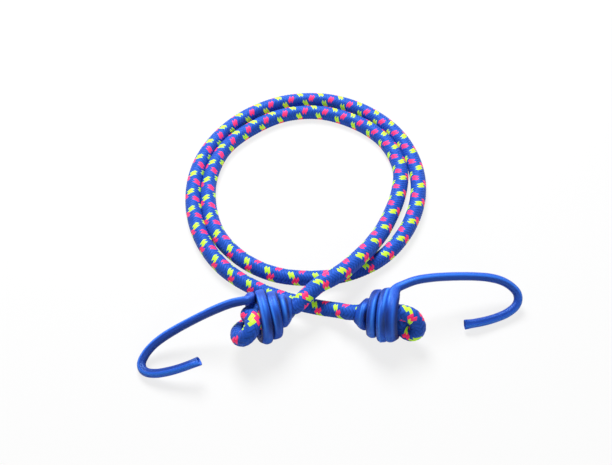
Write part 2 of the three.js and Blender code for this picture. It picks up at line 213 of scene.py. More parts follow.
class HookSettings(bpy.types.PropertyGroup):
    """Sizes and colours of the hooks and their windings"""

    sleeve_diameter: bpy.props.FloatProperty(
        name="Sleeve Diameter", description="Outer diameter of the sleeve on the hook's legs",
        default=4.35 * MM, min=2 * MM, max=8 * MM, unit="LENGTH", precision=4)
    sleeve_bore: bpy.props.FloatProperty(
        name="Sleeve Bore", description="Inner diameter of the sleeve",
        default=3.5 * MM, min=1 * MM, max=7 * MM, unit="LENGTH", precision=4)
    band_width: bpy.props.FloatProperty(
        name="Band Width", description="Width of the squashed sleeve in the winding",
        default=5.25 * MM, min=3 * MM, max=9 * MM, unit="LENGTH", precision=4)
    crease_depth: bpy.props.FloatProperty(
        name="Crease Depth", description="Depth of the sleeve's creases in the winding",
        default=0.5 * MM, min=0, max=1 * MM, unit="LENGTH", precision=4)
    mouth_squeeze: bpy.props.FloatProperty(
        name="Mouth Squeeze", description="How far the first turns are pulled into the cord",
        default=1.3 * MM, min=0, max=2 * MM, unit="LENGTH", precision=4)
    end_swell: bpy.props.FloatProperty(
        name="End Swell", description="How far the last turns stand off the folded cord",
        default=0.4 * MM, min=0, max=2 * MM, unit="LENGTH", precision=4)
    wire_diameter: bpy.props.FloatProperty(
        name="Wire Diameter", description="Diameter of the steel wire",
        default=3.2 * MM, min=1 * MM, max=3.4 * MM, unit="LENGTH", precision=4)
    winding_turns: bpy.props.FloatProperty(
        name="Winding Turns", description="Turns of wire round the folded cord",
        default=3.3, min=1, max=8)
    winding_pitch: bpy.props.FloatProperty(
        name="Winding Pitch", description="Distance from one turn to the next",
        default=4.9 * MM, min=3 * MM, max=10 * MM, unit="LENGTH", precision=4)
    sleeve_colour: bpy.props.StringProperty(
        name="Sleeve", description="Colour of the sleeve, as sRGB hex", default="#2257d2")
    # Painted highlight: this paler colour goes on the folds' ridges and along the legs' outer sides
    painted_highlight_colour: bpy.props.StringProperty(
        name="Stretched Sleeve", description="Colour where the sleeve is stretched over a fold",
        default="#3f8cff")
    # Painted shade: this dark colour goes into the creases, onto the bands' edges and onto the legs'
    # inner sides
    crease_shade_colour: bpy.props.StringProperty(
        name="Creased Sleeve", description="Colour deep in the sleeve's creases",
        default="#141f66")
    wire_colour: bpy.props.StringProperty(
        name="Wire", description="Colour of the wire, as sRGB hex", default="#9a9c9f")


class StageSettings(bpy.types.PropertyGroup):
    """Camera, floor and lamps"""

    camera_distance: bpy.props.FloatProperty(
        name="Camera Distance", description="Distance from the camera to the point it looks at",
        default=0.4555, min=0.1, max=5, unit="LENGTH")
    camera_pitch: bpy.props.FloatProperty(
        name="Camera Pitch", description="Angle of the camera's view below the horizon",
        default=math.radians(54), min=0, max=math.radians(90), unit="ROTATION")
    floor_colour: bpy.props.StringProperty(
        name="Floor", description="Colour of the floor, as sRGB hex", default="#dcdcdc")
    lamp_power: bpy.props.FloatProperty(
        name="Lamp Power", description="Power of the overhead lamp, with the front lamp in step",
        default=15, min=0, max=100, unit="POWER")


# Colours, curves and tubes

def unit(vectors):
    """Vectors scaled to length one"""
    return vectors / np.linalg.norm(vectors, axis=-1, keepdims=True)


def linear(hex_colour):
    """sRGB hex colour as linear red, green, blue and alpha"""
    channels = [int(hex_colour[i:i + 2], 16) / 255 for i in (1, 3, 5)]
    return [c / 12.92 if c <= 0.04045 else ((c + 0.055) / 1.055) ** 2.4 for c in channels] + [1.0]


def smooth_step(value, low, high):
    """Smooth rise from 0 at low to 1 at high"""
    share = np.clip((value - low) / (high - low), 0, 1)
    return share * share * (3 - 2 * share)


def curve_through(points, steps=24):
    """Centripetal Catmull-Rom curve through the points, with steps per stretch"""
    points = np.array(points, float)
    ends = np.vstack([2 * points[0] - points[1], points, 2 * points[-1] - points[-2]])
    found = []
    for before, start, end, after in zip(ends, ends[1:], ends[2:], ends[3:]):
        gap_before, gap, gap_after = (
            np.sqrt(max(np.linalg.norm(b - a), 1e-9))
            for a, b in ((before, start), (start, end), (end, after)))
        leave = gap * ((start - before) / gap_before - (end - before) / (gap_before + gap)
                       + (end - start) / gap)
        arrive = gap * ((end - start) / gap - (after - start) / (gap + gap_after)
                        + (after - end) / gap_after)
        t = np.linspace(0, 1, steps, endpoint=False)[:, None]
        found.append(start + leave * t + (3 * (end - start) - 2 * leave - arrive) * t ** 2
                     + (2 * (start - end) + leave + arrive) * t ** 3)
    return np.vstack([*found, points[-1:]])


def distance_along(line):
    """Distance from the start of a line to each of its points"""
    return np.r_[0, np.cumsum(np.linalg.norm(np.diff(line, axis=0), axis=1))]


def evenly_spaced(line, spacing):
    """The line's points again, a given distance apart"""
    along = distance_along(line)
    count = max(2, round(along[-1] / spacing) + 1)
    places = np.linspace(0, along[-1], count)
    return np.stack([np.interp(places, along, line[:, axis]) for axis in range(3)], axis=1)


def directions(line):
    """Direction of a line at each of its points"""
    return unit(np.gradient(line, axis=0))


def carried_normals(line, first):
    """Normals carried along a line without twist, from the first one"""
    along = directions(line)
    normals = np.empty_like(line)
    carried = first
    for i, direction in enumerate(along):
        carried = unit(carried - direction * (carried @ direction))
        normals[i] = carried
    return normals


def rings_along(line, first, radius, angles):
    """Rings of points round a line; the radius may change with the ring and the angle"""
    second = np.cross(directions(line), first)
    way = (first[:, None] * np.cos(angles)[..., None]
           + second[:, None] * np.sin(angles)[..., None])
    return line[:, None] + way * np.broadcast_to(radius, way.shape[:2])[..., None]


def tube_mesh(name, outer, inner, lengths, twist):
    """Tube whose rings run along its outer wall and back along its inner one. Its UV map holds
    the share of a turn, less the twist, and the length given for each outer ring."""
    rings = np.concatenate([outer, inner[::-1]])
    ring_count, sides = rings.shape[:2]
    shares = np.linspace(0, 1, len(outer))
    shares_back = np.linspace(1, 0, len(inner))
    lengths, twist = (np.r_[values, np.interp(shares_back, shares, values)]
                      for values in (lengths, twist))
    ring = np.arange(ring_count)[:, None]
    side = np.arange(sides)
    corners = []
    places = []
    for rings_on, sides_on in ((0, 0), (0, 1), (1, 1), (1, 0)):
        its_ring = (ring + rings_on) % ring_count
        corners.append(its_ring * sides + (side + sides_on) % sides)
        turn = (side + sides_on) / sides - twist[its_ring]
        places.append(np.stack([turn, np.broadcast_to(lengths[its_ring], turn.shape)], axis=-1))
    faces = np.stack(corners, axis=-1).astype(np.int32)
    face_count = ring_count * sides
    mesh = bpy.data.meshes.new(name)
    mesh.vertices.add(ring_count * sides)
    mesh.vertices.foreach_set("co", rings.ravel())
    mesh.loops.add(faces.size)
    mesh.loops.foreach_set("vertex_index", faces.ravel())
    mesh.polygons.add(face_count)
    mesh.polygons.foreach_set("loop_start", np.arange(0, faces.size, 4, dtype=np.int32))
    mesh.polygons.foreach_set("use_smooth", np.ones(face_count, bool))
    uv_map = mesh.uv_layers.new(name="Turn and Length")
    uv_map.data.foreach_set("uv", np.stack(places, axis=2).ravel())
    mesh.update()
    mesh.validate()
    return mesh


def add_piece(mesh, material, body, replaced):
    """Object for a mesh, riding on a body in place of a plain solid"""
    piece = bpy.data.objects.new(mesh.name, mesh)
    bpy.context.scene.collection.objects.link(piece)
    mesh.materials.append(material)
    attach(piece, body)
    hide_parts(replaced)
    return piece


def add_node(tree, kind, inputs=(), **settings):
    """Add a shader node. Its inputs are values, outputs, or nodes whose first output is meant:
    a list fills the first sockets, and a dict gives them by name or number."""
    node = tree.nodes.new("ShaderNode" + kind)
    for name, value in settings.items():
        setattr(node, name, value)
    for socket, value in inputs.items() if isinstance(inputs, dict) else enumerate(inputs):
        if isinstance(value, bpy.types.Node):
            value = value.outputs[0]
        if isinstance(value, bpy.types.NodeSocket):
            tree.links.new(value, node.inputs[socket])
        else:
            node.inputs[socket].default_value = value
    return node


def new_material(name):
    """Empty node material and its tree"""
    material = bpy.data.materials.new(name)
    material.use_nodes = True
    material.node_tree.nodes.clear()
    return material, material.node_tree


# The braid: sixteen carriers, eight each way, each passing over two and under two. A yellow
# tracer runs on two neighbouring carriers of one way, and a pink one on two of the other.

CARRIERS_EACH_WAY = 8
FLOAT_LENGTH = 2
BRAID_REPEAT = 4
YARNS_PER_CARRIER = 2
FLOAT_END_HEIGHT = 0.45
RAGGED_RANGE = 0.1
YELLOW_FIRST_CARRIER = 0
PINK_FIRST_CARRIER = 2
TRACER_CARRIERS = 2
# Where the tracers lie at the left winding, and the twist that the cord loses as it leaves it
TRACER_TURN = 26.25 / 360
TRACER_LEAD = 0.09375
MOUTH_TWIST_TURN = 0.15
MOUTH_TWIST_ENDS = (5 * MM, 27 * MM)
# How finely the sheath is drawn
SHEATH_SIDES = 48
RING_SPACING = 0.34 * MM
FOLD_RING_SPACING = 0.3 * MM
OUTER_RINGS_PER_INNER = 10
# The tracers' dyes are fluorescent, and here they get a painted glow: light of their own, in these
# colours
YELLOW_PAINTED_GLOW = "#90d800"
PINK_PAINTED_GLOW = "#ff0830"
# A lead is the length in which a yarn goes once round. It varies along the cord, which is
# stretched unevenly: these are millimetres from the left winding, and the leads up to there.
LEADS_COUNTED = [
    (8, 0), (19, 1), (75, 5), (101, 7), (124, 9), (180, 14), (205, 16), (256, 20), (307, 24),
    (355, 28), (380, 30), (445, 35), (496, 39), (532, 42), (581, 46), (634, 50), (685, 54),
    (721, 57), (768, 61), (805, 64),
]
# Where the cord is slack it is thicker, and leans out or in where its two loops touch. These
# are millimetres from the left winding, the share of the swelling, and the lean in millimetres
# away from the middle of the loops.
SLACK = [
    (0, 0, 0), (12, 0.2, 0), (30, 1, 0.3), (109, 1, 0.4), (138, 1, 0.6), (150, 1, 0.75),
    (160, 1, 0.8), (172, 0.7, 0.5), (190, 0.2, 0.1), (230, 0.4, 0), (256, 0.4, 0.1),
    (273, 0.6, 0.22), (300, 0.8, 0.3), (316, 0.9, 0.33), (335, 0.5, 0.15), (400, 0.1, 0),
    (440, 0.6, -0.2), (455, 1, -0.4), (505, 1, -0.6), (520, 1, -0.75), (532, 1, -0.8),
    (548, 0.7, -0.5), (570, 0.2, -0.1), (600, 0.2, 0), (647, 0.4, -0.1), (666, 0.65, -0.12),
    (697, 0.9, -0.3), (715, 0.9, -0.33), (738, 0.5, -0.15), (775, 0, 0),
]


def braid_height(turn, lead):
    """Height of the braid's surface, 0 in a furrow and 1 on a crown"""
    rising = (lead - turn) * CARRIERS_EACH_WAY
    falling = (lead + turn) * CARRIERS_EACH_WAY
    step = np.floor(rising) - np.floor(falling)
    rising_on_top = np.mod(step, BRAID_REPEAT) < FLOAT_LENGTH
    across = np.where(rising_on_top, rising, falling) % 1
    run = np.where(
        rising_on_top,
        np.mod(falling - np.floor(rising) + 1, BRAID_REPEAT),
        np.mod(rising - np.floor(falling) - FLOAT_LENGTH, BRAID_REPEAT)) / FLOAT_LENGTH
    crown = np.sqrt(np.clip(np.sin(np.pi * across), 0, 1))
    rise = (1 - FLOAT_END_HEIGHT) * np.sin(np.pi * np.clip(run, 0, 1))
    return crown * (FLOAT_END_HEIGHT + rise)


def braided_yarn_material(settings):
    """Polypropylene multifilament yarn, braided, with fluorescent tracer yarns. Fine fibres
    give it a soft broad sheen, the furrows between the carriers get painted shade, and the
    tracers get a painted glow."""
    material, tree = new_material("braided_polypropylene_yarn")
    place = add_node(tree, "SeparateXYZ", [add_node(tree, "UVMap", uv_map="Turn and Length")])
    turn, lead = place.outputs[0], place.outputs[1]
    turns = {"rising": add_node(tree, "Math", [lead, turn], operation="SUBTRACT"),
             "falling": add_node(tree, "Math", [lead, turn], operation="ADD")}
    carrier, yarn, chance = {}, {}, {}
    for way in turns:
        carrier[way] = add_node(tree, "Math", [turns[way], CARRIERS_EACH_WAY],
                                operation="MULTIPLY")
        yarn[way] = add_node(tree, "Math", [carrier[way], YARNS_PER_CARRIER],
                             operation="MULTIPLY")
        number = add_node(tree, "Math", [yarn[way]], operation="FLOOR")
        chance[way] = add_node(tree, "TexWhiteNoise", {"W": number}, noise_dimensions="1D")

    # A yarn's visible end is ragged by up to a twentieth of a carrier either way
    edge, carrier_number = {}, {}
    for way, other in (("rising", "falling"), ("falling", "rising")):
        ragged = add_node(tree, "Math", [chance[other], RAGGED_RANGE, -RAGGED_RANGE / 2],
                          operation="MULTIPLY_ADD")
        moved = add_node(tree, "Math", [carrier[way], ragged], operation="ADD")
        edge[way] = add_node(tree, "Math", [moved], operation="FLOOR")
        carrier_number[way] = add_node(tree, "Math", [edge[way], CARRIERS_EACH_WAY],
                                       operation="FLOORED_MODULO")
    step = add_node(tree, "Math", [edge["rising"], edge["falling"]], operation="SUBTRACT")
    phase = add_node(tree, "Math", [step, BRAID_REPEAT], operation="FLOORED_MODULO")
    rising_on_top = add_node(tree, "Math", [phase, FLOAT_LENGTH - 0.5], operation="LESS_THAN")
    falling_on_top = add_node(tree, "Math", [1.0, rising_on_top], operation="SUBTRACT")

    def tracer(way, first_carrier, on_top):
        middle = first_carrier + (TRACER_CARRIERS - 1) / 2
        dyed_carrier = add_node(tree, "Math", [carrier_number[way], middle, TRACER_CARRIERS / 2],
                                operation="COMPARE")
        return add_node(tree, "Math", [dyed_carrier, on_top], operation="MULTIPLY")

    yellow = tracer("rising", YELLOW_FIRST_CARRIER, rising_on_top)
    pink = tracer("falling", PINK_FIRST_CARRIER, falling_on_top)

    # The yarn and the carrier on top, and the height of their round backs
    top, crown = {}, {}
    for name, source in (("yarn", yarn), ("carrier", carrier)):
        top[name] = add_node(
            tree, "Mix", {0: rising_on_top, 2: source["falling"], 3: source["rising"]},
            data_type="FLOAT")
        across = add_node(tree, "Math", [top[name]], operation="FRACT")
        half_turn = add_node(tree, "Math", [across, math.pi], operation="MULTIPLY")
        crown[name] = add_node(tree, "Math", [half_turn], operation="SINE")
    top_number = add_node(tree, "Math", [top["yarn"]], operation="FLOOR")
    yarn_tone = add_node(tree, "TexWhiteNoise", {"W": top_number}, noise_dimensions="1D")
    cloud = add_node(tree, "TexNoise", {"Scale": 1 / (9 * MM), "Detail": 3.0})

    base = linear(settings.yarn_colour)
    # Painted shade: the dark colour goes into the furrows between the carriers
    dark = [0.2 * c for c in base[:3]] + [1.0]
    bright = [min(1.0, 1.25 * c + 0.01) for c in base[:3]] + [1.0]
    tone = add_node(tree, "Math", [yarn_tone, 0.6, cloud], operation="MULTIPLY_ADD")
    tone_share = add_node(tree, "MapRange", {"Value": tone, "From Min": 0.4, "From Max": 1.1})
    plain = add_node(tree, "Mix", {0: tone_share, 6: base, 7: bright}, data_type="RGBA")
    # Painted shade in the furrows, up to half way to the dark colour where the carrier's crown is low
    furrow = add_node(tree, "MapRange", {"Value": crown["carrier"], "From Min": 0.1,
                                         "From Max": 0.75, "To Min": 0.5, "To Max": 0.0})
    shaded = add_node(tree, "Mix", {0: furrow, 6: plain.outputs[2], 7: dark}, data_type="RGBA")
    with_yellow = add_node(
        tree, "Mix", {0: yellow, 6: shaded.outputs[2], 7: linear(settings.yellow_colour)},
        data_type="RGBA")
    with_pink = add_node(
        tree, "Mix", {0: pink, 6: with_yellow.outputs[2], 7: linear(settings.pink_colour)},
        data_type="RGBA")
    bump = add_node(tree, "Bump", {"Strength": 0.6, "Distance": 0.12 * MM,
                                   "Height": crown["yarn"]})
    # Painted glow: the tracer yarns emit their glow colour at a quarter strength
    glow = add_node(tree, "Mix", {0: pink, 6: linear(YELLOW_PAINTED_GLOW), 7: linear(PINK_PAINTED_GLOW)},
                    data_type="RGBA")
    dyed = add_node(tree, "Math", [pink, yellow], operation="ADD")
    painted_glow_strength = add_node(tree, "Math", [dyed, 0.25], operation="MULTIPLY")
    shader = add_node(tree, "BsdfPrincipled", {
        "Base Color": with_pink.outputs[2], "Roughness": 0.5, "IOR": 1.49,
        "Emission Color": glow.outputs[2], "Emission Strength": painted_glow_strength,
        "Specular Tint": linear("#5fa4ff"), "Sheen Weight": 0.08, "Sheen Roughness": 0.4,
        "Sheen Tint": linear("#4f90ff"), "Normal": bump})
    add_node(tree, "OutputMaterial", [shader])
    return material


def sheath_mesh(name, line, first, leads, twist, settings, swelling):
    """Braided tube round a line, pressed flat where it lies on the table. The braid is turned
    by the twist, in turns."""
    angles = np.linspace(0, 2 * np.pi, SHEATH_SIDES, endpoint=False)
    height = braid_height(angles / (2 * np.pi) - np.reshape(twist, (-1, 1)), leads[:, None])
    crest = settings.diameter / 2 * (1 + swelling[:, None])
    radius = crest - settings.braid_relief * (1 - height)
    outer = rings_along(line, first, radius, angles)
    few = np.r_[np.arange(0, len(line) - 1, OUTER_RINGS_PER_INNER), len(line) - 1]
    inner = rings_along(line[few], first[few], settings.sheath_bore / 2, angles)
    for rings in (outer, inner):
        rings[..., 2] = np.maximum(rings[..., 2], 0)
    return tube_mesh(name, outer, inner, leads, np.broadcast_to(twist, leads.shape))


# Winding and hook

def hook_axes(side):
    """Origin and axes of a winding: out along the cord, sideways and upright"""
    joint = next(j for j in frame["joints"] if j["name"] == f"{side}_hook_twist")
    outward = unit(np.array(joint["axis"], float))
    sideways = unit(np.cross(UP, outward))
    return np.array(joint["pos_m"], float), np.stack([outward, sideways, np.cross(outward, sideways)])


def placed(points, side):
    """Points of a winding's own frame, in the object's frame"""
    origin, axes = hook_axes(side)
    return origin + points @ axes


# Sizes that both windings share. A depth runs along the winding's axis from the joint at its
# mouth, where the free cord goes in, towards its wide end, where the fold comes out.
CAD_CORD_RADIUS = 4 * MM
CAD_SLEEVE_RADIUS = 2.3964 * MM
CAD_SLEEVE_HALF_WIDTH = CAD_SLEEVE_RADIUS * math.cos(math.pi / 6)
MOUTH_RADIUS = CAD_CORD_RADIUS + 0.3 * MM + CAD_SLEEVE_RADIUS
# The cord steps aside in the winding, to lie beside its own end
STRAND_OFFSET = CAD_CORD_RADIUS + 0.16 * MM
SIDE_STEP_START = 3.5 * MM
SIDE_STEP_LENGTH = 10 * MM
SEAM_DEPTH = 1.9 * MM
SEAM_GAP = 0.3 * MM
TAIL_DEPTH = 14.6 * MM
STEP_POINTS = 7
BEND_POINTS = 9
ARM_SHARES = [0, 1 / 3, 2 / 3]
# The coil widens a little ahead of that step. It is squeezed at its mouth and swollen at its
# wide end, it sags and shifts as each hook's table says, and it stays off the table.
CONE_LEAD = 0.6 * MM
SQUEEZED_DEPTHS = (4 * MM, 11.5 * MM)
SWOLLEN_DEPTHS = (10 * MM, 13 * MM)
SAG_DEPTHS = [2 * MM, 7 * MM, 13 * MM]
SHIFT_TURNS = [0, 1.2, 2.4, 3.3]
LOWEST_WIRE = 2.3 * MM
LIFT_BLEND = 0.3 * MM
# The wire, from its start to where it leaves the coil and ends. Its way at either end of the
# coil is taken over a nudge back and forth.
POINTS_PER_TURN = 72
NUDGE_TURNS = 1 / 192
START_POINTS = 9
START_SLANT = 3.4 * MM
START_SLANT_POWER = 1.5
LEAVING_POINTS = 60
LEAVING_PULL_SHARE = 0.4
LINE_SPACING = 0.5 * MM
ROUNDING_LENGTH = 14 * MM
END_RECESS = 3.2 * MM
# The sleeve all along: points round it, its thinnest wall, and slow changes of its thickness
SLEEVE_SIDES = 80
OUTER_RINGS_PER_BORE_RING = 4
THINNEST_WALL = 0.1 * MM
WOBBLE_SHARE = 0.025
WOBBLE_LENGTH = 9 * MM
WOBBLE_SEED = 40
# The sleeve in the coil: how it is squashed and folded, and its two lips. The lips fade over
# shares of the coil, and the lips and the painted shade on the band's edges start at a place across
# the band.
SQUASH_THINNING = 0.15 * MM
SQUASH_BOXINESS = 0.8
OUTER_FACE_HEIGHT = 1.2 * MM
WAVE_HEIGHT = 0.15 * MM
WAVE_LENGTH = 13 * MM
FOLD_FADE_TURNS = 0.06
PAINTED_EDGE_SHADE_FROM = 0.72
LIP_FROM = 0.15
MOUTH_LIP_FADE = (0.16, 0.34)
MOUTH_LIP_INWARD = 1.6 * MM
MOUTH_LIP_THINNING = 0.55
END_LIP_FADE = (0.72, 0.85)
END_LIP_INWARD = 0.3 * MM
END_LIP_THINNING = 0.4
# The sleeve on the legs: places round it run from -1 on the hook's inner side to 1 on its outer
MARK_WANDER = 0.12
MARK_WANDER_LENGTH = 12 * MM
MARK_WANDER_SEED = 50
# Painted shade on the legs' inner sides, and a painted highlight band along their outer sides
PAINTED_SHADE_EDGE = (-0.15, 0.2)
PAINTED_HIGHLIGHT_PLACE = 0.5
PAINTED_HIGHLIGHT_WIDTH = 0.28
PAINTED_HIGHLIGHT_TONE = 0.7
GROOVE_PLACE = -0.2
GROOVE_WIDTH = 0.3
GROOVE_DEPTH = 0.2 * MM
WRINKLE_DEPTH = 0.2 * MM
WRINKLE_REACH = 5 * MM
WRINKLE_LENGTH = 0.38 * MM
# The sleeve's two ends: pinched past the wire's start, and cut off at the tip
START_PINCH_LENGTH = 3 * MM
START_PINCH_ACROSS = 0.72
START_PINCH_INWARD = 0.7
START_PINCH_BORE = 0.8
TIP_PINCH_LENGTH = 4.5 * MM
TIP_WIDENING = 0.3
TIP_SLANT_LENGTH = 1.5 * MM


def side_step(depth):
    """Sideways step of the cord at a depth in its winding"""
    share = np.clip((depth - SIDE_STEP_START) / SIDE_STEP_LENGTH, 0, 1)
    return STRAND_OFFSET * (1 - np.cos(np.pi * share)) / 2


def winding_length(settings):
    """Length of a winding from its mouth to its wide end"""
    return settings.winding_turns * settings.winding_pitch + 2 * CAD_SLEEVE_HALF_WIDTH


def around(degrees):
    """Direction at an angle about the winding's axis"""
    angle = np.radians(degrees)
    return np.stack([0 * angle, np.cos(angle), np.sin(angle)], axis=-1)


def turned(vector, axis, angle):
    """Vector turned about a unit axis"""
    return (vector * math.cos(angle) + np.cross(axis, vector) * math.sin(angle)
            + axis * (axis @ vector) * (1 - math.cos(angle)))


def fold_line(shape, settings):
    """Centre line of a folded end in its winding's frame"""
    spread = around(shape["fold_spread_at"])
    droop_side = around(shape["fold_droops_towards"])
    droop_axis = np.cross(ALONG, droop_side)
    droop = math.radians(shape["fold_droop"])
    reach_limit = shape["fold_reach"]
    fold_flare = shape["fold_flare"]
    length = winding_length(settings)

    def inside(depth, side):
        return ALONG * depth + spread * side

    def outside(reach, side):
        bent = min(reach, reach_limit)
        angle = droop * bent / reach_limit
        bend_radius = reach_limit / droop
        way = turned(ALONG, droop_axis, angle)
        twist = math.radians(shape["fold_twist"]) * (1 - math.cos(math.pi * bent / reach_limit)) / 2
        return (ALONG * (length + bend_radius * math.sin(angle))
                + droop_side * bend_radius * (1 - math.cos(angle))
                + way * (reach - bent)
                + turned(turned(spread, droop_axis, angle), way, twist) * side)

    def flare(share):
        return fold_flare * (1 - math.cos(math.pi * share)) / 2

    points = [inside(SEAM_DEPTH + SEAM_GAP, 0)]
    for depth in np.linspace(SIDE_STEP_START, SIDE_STEP_START + SIDE_STEP_LENGTH, STEP_POINTS):
        points.append(inside(depth, side_step(depth)))
    points.append(inside((SIDE_STEP_START + SIDE_STEP_LENGTH + length) / 2, STRAND_OFFSET))
    turn_radius = STRAND_OFFSET + fold_flare
    for share in ARM_SHARES:
        points.append(outside(reach_limit * share, STRAND_OFFSET + flare(share)))
    for angle in np.linspace(0, math.pi, BEND_POINTS):
        points.append(outside(reach_limit + turn_radius * math.sin(angle),
                              turn_radius * math.cos(angle)))
    for share in ARM_SHARES[::-1]:
        points.append(outside(reach_limit * share, -STRAND_OFFSET - flare(share)))
    points.append(inside((TAIL_DEPTH + length) / 2, -STRAND_OFFSET))
    points.append(inside(TAIL_DEPTH, -STRAND_OFFSET))
    return curve_through(points)


def hook_line(side, shape, settings):
    """Centre line of a hook's wire in its winding's frame, the number of its points before the
    winding, how far each is squashed, and the direction square to the hook"""

    def on_winding(turns):
        depth = (CAD_SLEEVE_HALF_WIDTH + settings.winding_pitch * turns
                 + np.interp(turns, SHIFT_TURNS, shape["shifts"]))
        drawn_in = settings.mouth_squeeze * (1 - smooth_step(depth, *SQUEEZED_DEPTHS))
        fuller = settings.end_swell * smooth_step(depth, *SWOLLEN_DEPTHS)
        radius = MOUTH_RADIUS + side_step(depth + CONE_LEAD) - drawn_in + fuller
        angle = shape["leaves_at"] + 360 * (settings.winding_turns - turns)
        sag = np.interp(depth, SAG_DEPTHS, shape["sags"])
        points = (around(angle) * radius[..., None] + depth[..., None] * ALONG
                  + around(shape["sags_towards"]) * sag[..., None])
        too_low = LOWEST_WIRE - placed(points, side)[..., 2]
        lift = (too_low + np.hypot(too_low, LIFT_BLEND)) / 2
        return points + lift[..., None] * (hook_axes(side)[1] @ UP)

    point_count = round(settings.winding_turns * POINTS_PER_TURN) + 1
    turns = np.linspace(0, settings.winding_turns, point_count)
    coil = on_winding(turns)
    start_way, end_way = (
        unit(on_winding(turns[[end]] + NUDGE_TURNS)[0] - on_winding(turns[[end]] - NUDGE_TURNS)[0])
        for end in (0, -1))
    start_length = np.linspace(2 * CAD_SLEEVE_RADIUS, 0, START_POINTS)[:-1]
    if shape["start_tip"]:
        slant = START_SLANT * (start_length / start_length[0]) ** START_SLANT_POWER
        start = coil[0] - start_way * start_length[:, None] + ALONG * slant[:, None]
    else:
        start = on_winding(-start_length / (2 * math.pi * MOUTH_RADIUS))

    swing, dip, roll = (math.radians(shape[key]) for key in ("swing", "dip", "roll"))
    shank = np.array([math.cos(dip) * math.cos(swing), math.cos(dip) * math.sin(swing),
                      math.sin(dip)])
    level = np.array([-math.sin(swing), math.cos(swing), 0])
    across = turned(level, shank, roll)
    shank_start = (around(shape["shank_start_at"]) * shape["shank_start_radius"]
                   + ALONG * (winding_length(settings) + shape["shank_start_past_winding"]))
    outline = curve_through([
        shank_start + shank * along_share * shape["hook_length"]
        + across * across_share * shape["leg_spacing"]
        for along_share, across_share in OUTLINE_SHARES])
    pull = np.linalg.norm(shank_start - coil[-1]) * LEAVING_PULL_SHARE
    handles = [coil[-1], coil[-1] + end_way * pull,
               shank_start - directions(outline)[0] * pull, shank_start]
    t = np.linspace(0, 1, LEAVING_POINTS)[:, None]
    leaving = (handles[0] * (1 - t) ** 3 + 3 * handles[1] * t * (1 - t) ** 2
               + 3 * handles[2] * t ** 2 * (1 - t) + handles[3] * t ** 3)
    free = evenly_spaced(np.vstack([leaving[:-1], outline]), LINE_SPACING)
    line = np.vstack([start, coil, free[1:]])
    squash = np.r_[np.ones(len(start) + len(coil)),
                   1 - smooth_step(distance_along(free)[1:], 0, ROUNDING_LENGTH)]
    return line, len(start), squash, np.cross(shank, across)


def slow_noise(places, step, seed):
    """Smooth noise from -1 to 1 along a length, with a new value at each step"""
    values = np.random.default_rng(seed).uniform(-1, 1, int(np.max(places) / step) + 3)
    share = places / step
    before = np.floor(share).astype(int)
    blend = smooth_step(share - before, 0, 1)
    return values[before] * (1 - blend) + values[before + 1] * blend


def pressed_section(across, inward, length, squash, turn_share, shape, settings):
    """Section of the sleeve, squashed over the wire: creased on its outer face where its walls
    folded, with a lip on the first turn that hugs the cord and a lip on the last turn. The
    last value is the painted tone: above zero a painted highlight, as far as a point stands up
    on a fold; below zero painted shade, as deep as it lies in a crease, and more on the band's edges."""
    seed = shape["crease_seed"]
    half_width = settings.band_width / 2
    place = across / half_width
    outer_face = smooth_step(-inward, 0, OUTER_FACE_HEIGHT) * squash
    turns = turn_share * settings.winding_turns
    relief = WAVE_HEIGHT * slow_noise(length, WAVE_LENGTH, seed) * place
    for first_turn, last_turn, first_place, last_place, width, height in shape["folds"]:
        share = np.clip((turns - first_turn) / (last_turn - first_turn), 0, 1)
        centre = first_place + (last_place - first_place) * share
        begun = smooth_step(turns, first_turn - FOLD_FADE_TURNS, first_turn + FOLD_FADE_TURNS)
        ended = smooth_step(turns, last_turn - FOLD_FADE_TURNS, last_turn + FOLD_FADE_TURNS)
        rise = begun * (1 - ended) * height * settings.crease_depth
        relief = relief - rise * np.exp(-((place - centre) / width) ** 2)
    inward = inward + relief * outer_face
    # Painted tone: a painted highlight on a fold, painted shade in a crease and on the band's edges,
    # where the turns meet
    crease = -relief * outer_face / settings.crease_depth
    crease = crease - smooth_step(np.abs(place), PAINTED_EDGE_SHADE_FROM, 1.0) * squash

    mouth_lip = (smooth_step(-place, LIP_FROM, 1)
                 * (1 - smooth_step(turn_share, *MOUTH_LIP_FADE)) * squash)
    across = across - shape["mouth_lip"] * mouth_lip
    inward = inward * (1 - MOUTH_LIP_THINNING * mouth_lip) + MOUTH_LIP_INWARD * mouth_lip
    end_lip = smooth_step(place, LIP_FROM, 1) * smooth_step(turn_share, *END_LIP_FADE) * squash
    across = across + shape["end_lip"] * end_lip
    inward = inward * (1 - END_LIP_THINNING * end_lip) + END_LIP_INWARD * end_lip
    return across, inward, crease


def pinched(rings, line, normal, outer_way, flat):
    """Rings squeezed along the normal of the hook, and widened in its plane"""
    off = rings - line[:, None]
    thick = (off @ normal)[..., None] * normal
    wide = np.einsum("ijk,ik->ij", off, outer_way)[..., None] * outer_way[:, None]
    return rings - thick * flat[..., None] + wide * TIP_WIDENING * flat[..., None]


